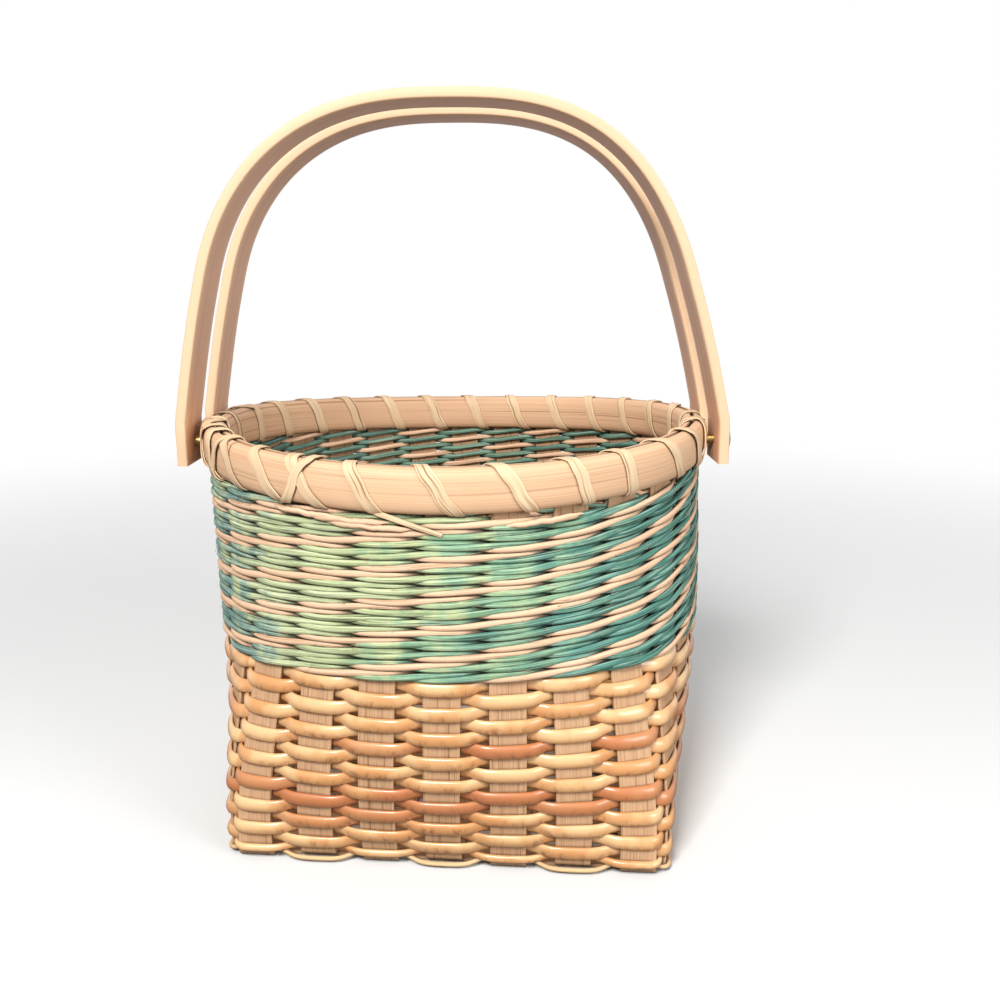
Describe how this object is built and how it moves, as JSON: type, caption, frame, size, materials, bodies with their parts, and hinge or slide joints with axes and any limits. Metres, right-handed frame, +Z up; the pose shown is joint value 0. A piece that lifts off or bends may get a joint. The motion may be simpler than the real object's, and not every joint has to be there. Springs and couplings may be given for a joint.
{
  "type": "woven basket",
  "caption": "Hand-woven basket with a square plaited base, cane and dyed reed walls, a round lashed rim and bolted wooden swing handles.",
  "frame": {"origin": "on the surface that the basket stands on, under the middle of the rim, which is the bottom centre of the whole object's box", "axes": "+Z up; +X to the right along the handles' bolts, seen from the front; the front faces -Y; the square base sits turned 5.2 degrees clockwise seen from above, with its middle at x 4 mm"},
  "size_m": [0.2116, 0.1984, 0.2713],
  "materials": {
    "flat_reed": "matt raw flat reed, pinkish tan with fine brown lines along it",
    "foot_reed": "pale raw reed",
    "cane": "glossy honey-coloured cane skin",
    "brown_cane": "glossy orange-brown cane skin",
    "dyed_reed": "matt dyed round reed, green to teal, with undyed rods between",
    "rim_band": "smooth raw reed band with grain along it",
    "lashing": "pale flat strand",
    "bent_wood": "sanded peach-coloured bent wood",
    "brass": "darkened brass, domed"
  },
  "bodies": {
    "basket": {"strip_lengthwise_1": "flat_reed", "strip_lengthwise_2": "flat_reed", "strip_lengthwise_3": "flat_reed", "strip_lengthwise_4": "flat_reed", "strip_lengthwise_5": "flat_reed", "strip_lengthwise_6": "flat_reed", "strip_lengthwise_7": "flat_reed", "strip_crosswise_1": "flat_reed", "strip_crosswise_2": "flat_reed", "strip_crosswise_3": "flat_reed", "strip_crosswise_4": "flat_reed", "strip_crosswise_5": "flat_reed", "strip_crosswise_6": "flat_reed", "strip_crosswise_7": "flat_reed", "foot_row": "foot_reed", "foot_cane_row": "cane", "cane_row_01": "cane", "cane_row_02": "cane", "cane_row_03": "cane", "cane_row_04": "cane", "cane_row_05": "brown_cane", "cane_row_06": "brown_cane", "cane_row_07": "cane", "cane_row_08": "cane", "cane_row_09": "cane", "cane_row_10": "brown_cane", "cane_row_11": "cane", "cane_row_12": "cane", "cane_row_13": "cane", "cane_row_14": "cane", "cane_row_15": "cane", "wale": "dyed_reed", "rim_band_outer": "rim_band", "rim_band_inner": "rim_band", "rim_lashing": "lashing", "bolt_right_front": "brass", "bolt_right_back": "brass", "bolt_left_back": "brass", "bolt_left_front": "brass"},
    "front_handle": {"handle_front": "bent_wood"},
    "back_handle": {"handle_back": "bent_wood"}
  },
  "joints": [
    {"name": "front_handle_swing", "type": "hinge", "parent": "basket", "child": "front_handle", "pos_m": [0, -0.02, 0.1455], "axis": [1, 0, 0], "range_deg": [-3, 135]},
    {"name": "back_handle_swing", "type": "hinge", "parent": "basket", "child": "back_handle", "pos_m": [0, 0.02, 0.1455], "axis": [-1, 0, 0], "range_deg": [-3, 135]}
  ]
}
